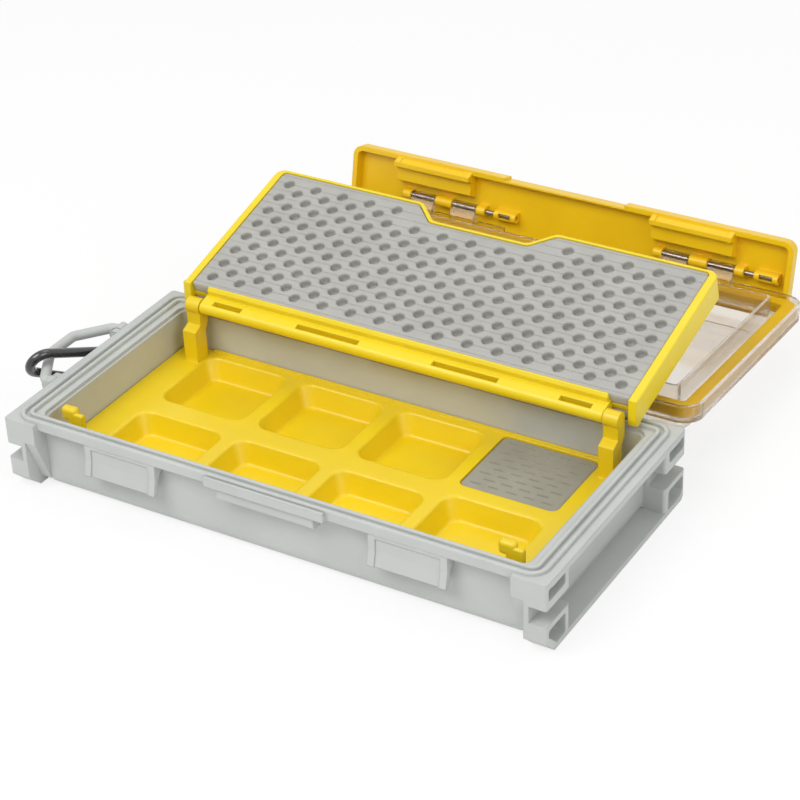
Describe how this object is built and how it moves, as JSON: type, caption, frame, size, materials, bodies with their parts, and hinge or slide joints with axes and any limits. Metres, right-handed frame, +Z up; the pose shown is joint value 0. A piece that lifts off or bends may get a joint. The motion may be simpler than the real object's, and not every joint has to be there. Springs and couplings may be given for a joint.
{
  "type": "fly box",
  "caption": "Hinged fishing fly box standing open: tray of wells with a slit foam pad, flip-up leaf of foam sheets, clear sealed lid with a latch bar, lanyard bail and carabiner.",
  "frame": {"origin": "centre of the base's flat underside, between its end bumpers and between its front and rear bumper faces", "axes": "+X right along the front, +Y from the latch side to the hinge side, +Z up"},
  "size_m": [0.2369, 0.2322, 0.0591],
  "materials": {
    "base_plastic": "fine matte moulding",
    "tray_plastic": "satin moulding",
    "pad_foam": "closed-cell foam",
    "pin_steel": "drawn rod",
    "lid_clear": "clear polished moulding",
    "gasket_rubber": "soft translucent seal",
    "latch_plastic": "satin moulding",
    "leaf_plastic": "satin moulding",
    "insert_foam": "closed-cell foam",
    "bail_plastic": "fine matte moulding",
    "carabiner_black": "gloss black"
  },
  "bodies": {
    "base": {"base_shell": "base_plastic", "well_tray": "tray_plastic", "slit_pad": "pad_foam", "hinge_pin_left": "pin_steel", "hinge_pin_right": "pin_steel"},
    "lid": {"lid_shell": "lid_clear", "lid_gasket": "gasket_rubber"},
    "latch": {"latch_bar": "latch_plastic", "latch_pin_left": "pin_steel", "latch_pin_right": "pin_steel"},
    "leaf": {"leaf_frame": "leaf_plastic", "leaf_insert_upper": "insert_foam", "leaf_insert_lower": "insert_foam"},
    "bail": {"lanyard_bail": "bail_plastic"},
    "carabiner": {"carabiner_hook": "carabiner_black", "gate_pin": "pin_steel"},
    "gate": {"carabiner_gate": "carabiner_black"}
  },
  "joints": [
    {"name": "lid_hinge", "type": "hinge", "parent": "base", "child": "lid", "pos_m": [0, 0.058, 0.0297], "axis": [1, 0, 0], "range_deg": [0, 183.9]},
    {"name": "latch_hinge", "type": "hinge", "parent": "lid", "child": "latch", "pos_m": [0, 0.17217, 0.02542], "axis": [1, 0, 0], "range_deg": [-4, 8]},
    {"name": "leaf_hinge", "type": "hinge", "parent": "base", "child": "leaf", "pos_m": [0, 0.0387, 0.0349], "axis": [1, 0, 0], "range_deg": [0, 165.86]},
    {"name": "bail_hinge", "type": "hinge", "parent": "base", "child": "bail", "pos_m": [-0.1128, 0, 0.026], "axis": [0, 1, 0], "range_deg": [0, 40]},
    {"name": "carabiner_swing", "type": "hinge", "parent": "bail", "child": "carabiner", "pos_m": [-0.12128, -0.01244, 0.02734], "axis": [-0.5045, 0.8597, 0.0799], "range_deg": [0, 9]},
    {"name": "gate_hinge", "type": "hinge", "parent": "carabiner", "child": "gate", "pos_m": [-0.11845, 0.01098, 0.00812], "axis": [-0.8025, 0.4335, 0.4099], "range_deg": [0, 14], "stiffness_Nm_per_rad": 0.02, "springref_deg": -5.73}
  ],
  "couplings": [
    {"joint": "leaf_hinge", "follows": "lid_hinge", "ratio": 0.9019}
  ]
}
